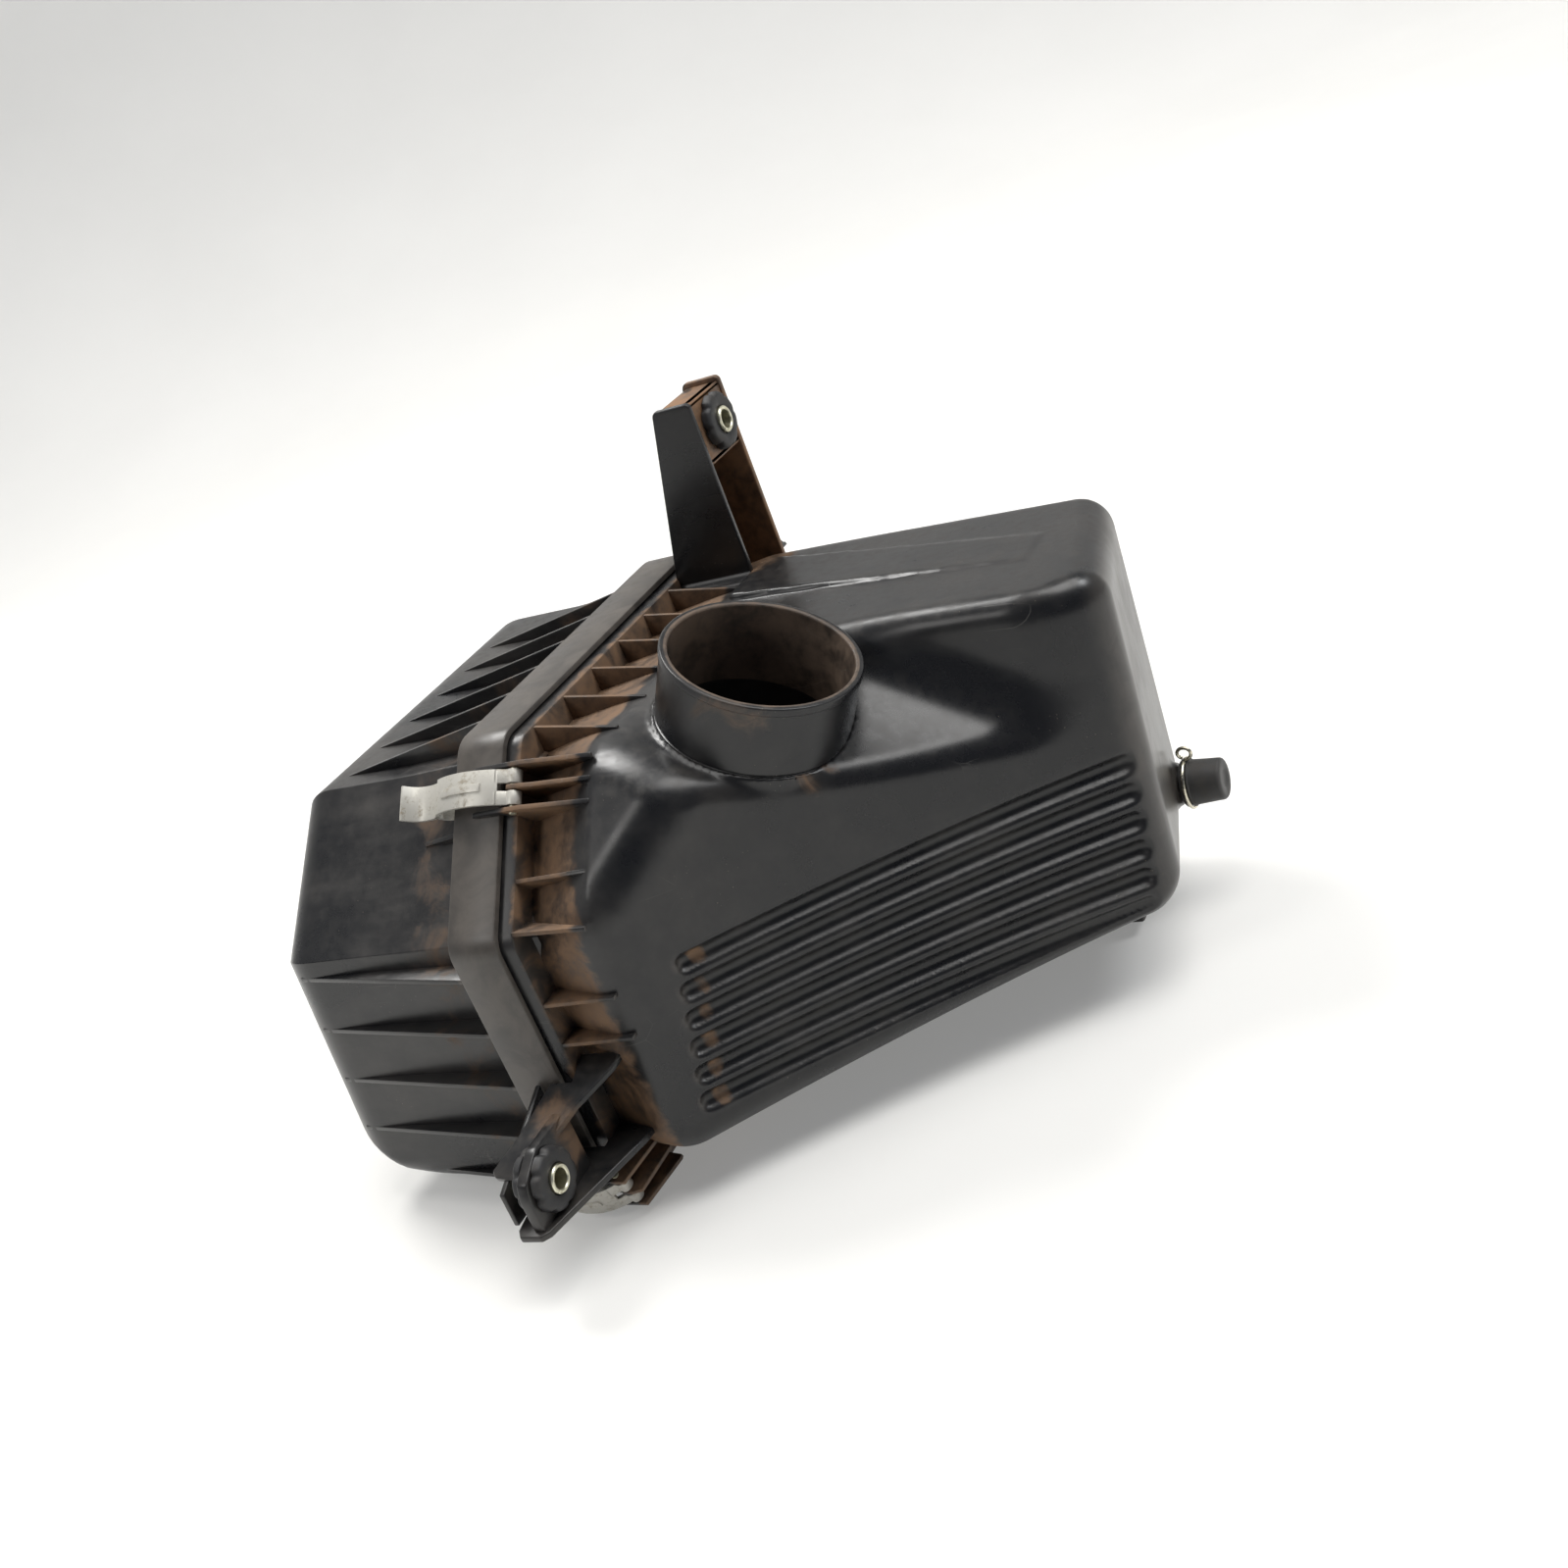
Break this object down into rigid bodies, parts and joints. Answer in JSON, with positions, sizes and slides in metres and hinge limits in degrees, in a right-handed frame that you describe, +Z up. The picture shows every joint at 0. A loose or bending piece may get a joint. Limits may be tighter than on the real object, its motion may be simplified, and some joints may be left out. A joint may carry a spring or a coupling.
{
  "type": "engine air filter housing",
  "caption": "Two-part moulded air filter housing with a slanted round outlet, spring clips, two mounting arms, and a pleated filter inside.",
  "frame": {"origin": "centre of the underside of the bounding box", "axes": "+Z up, +X from the end cover towards the main case, -Y towards the cut-off front corner"},
  "size_m": [0.3904, 0.326, 0.277],
  "materials": {
    "case_plastic": "black moulded plastic, worn and dusty",
    "frame_rubber": "matt moulded rubber",
    "paper": "resin-treated filter paper",
    "black_rubber": "matt rubber",
    "zinc_steel": "yellowish zinc plate",
    "wire_steel": "bright wire",
    "clip_steel": "grey plate with brown stains",
    "seal_foam": "closed-cell foam"
  },
  "bodies": {
    "case": {"main_case": "case_plastic", "end_cover": "case_plastic", "inlet_seal": "seal_foam", "filter_frame": "frame_rubber", "filter_media": "paper", "filter_grid": "case_plastic", "grommet_upper": "black_rubber", "grommet_lower": "black_rubber", "bush_upper": "zinc_steel", "bush_lower": "zinc_steel", "clip_pin_front_upper": "zinc_steel", "clip_pin_front_lower": "zinc_steel", "clip_pin_back_upper": "zinc_steel", "clip_pin_back_lower": "zinc_steel"},
    "drain": {"drain_cap": "black_rubber", "drain_clamp": "wire_steel"},
    "clip_front_upper": {"clip_front_upper": "clip_steel"},
    "clip_front_lower": {"clip_front_lower": "clip_steel"},
    "clip_back_upper": {"clip_back_upper": "clip_steel"},
    "clip_back_lower": {"clip_back_lower": "clip_steel"}
  },
  "joints": [
    {"name": "drain_cap_slide", "type": "slide", "parent": "case", "child": "drain", "axis": [1, 0, 0], "range_m": [0, 0.04]},
    {"name": "clip_front_upper_hinge", "type": "hinge", "parent": "case", "child": "clip_front_upper", "pos_m": [-0.02826, -0.06401, 0.18432], "axis": [0, 0.6956, 0.7184], "range_deg": [0, 100]},
    {"name": "clip_front_lower_hinge", "type": "hinge", "parent": "case", "child": "clip_front_lower", "pos_m": [-0.02826, -0.1068, 0.0155], "axis": [0, -0.3709, 0.9287], "range_deg": [0, 100]},
    {"name": "clip_back_upper_hinge", "type": "hinge", "parent": "case", "child": "clip_back_upper", "pos_m": [-0.02826, 0.15458, 0.153], "axis": [0, 0, -1], "range_deg": [0, 100]},
    {"name": "clip_back_lower_hinge", "type": "hinge", "parent": "case", "child": "clip_back_lower", "pos_m": [-0.02826, 0.15275, 0.0155], "axis": [0, -0.3709, -0.9287], "range_deg": [0, 100]}
  ]
}
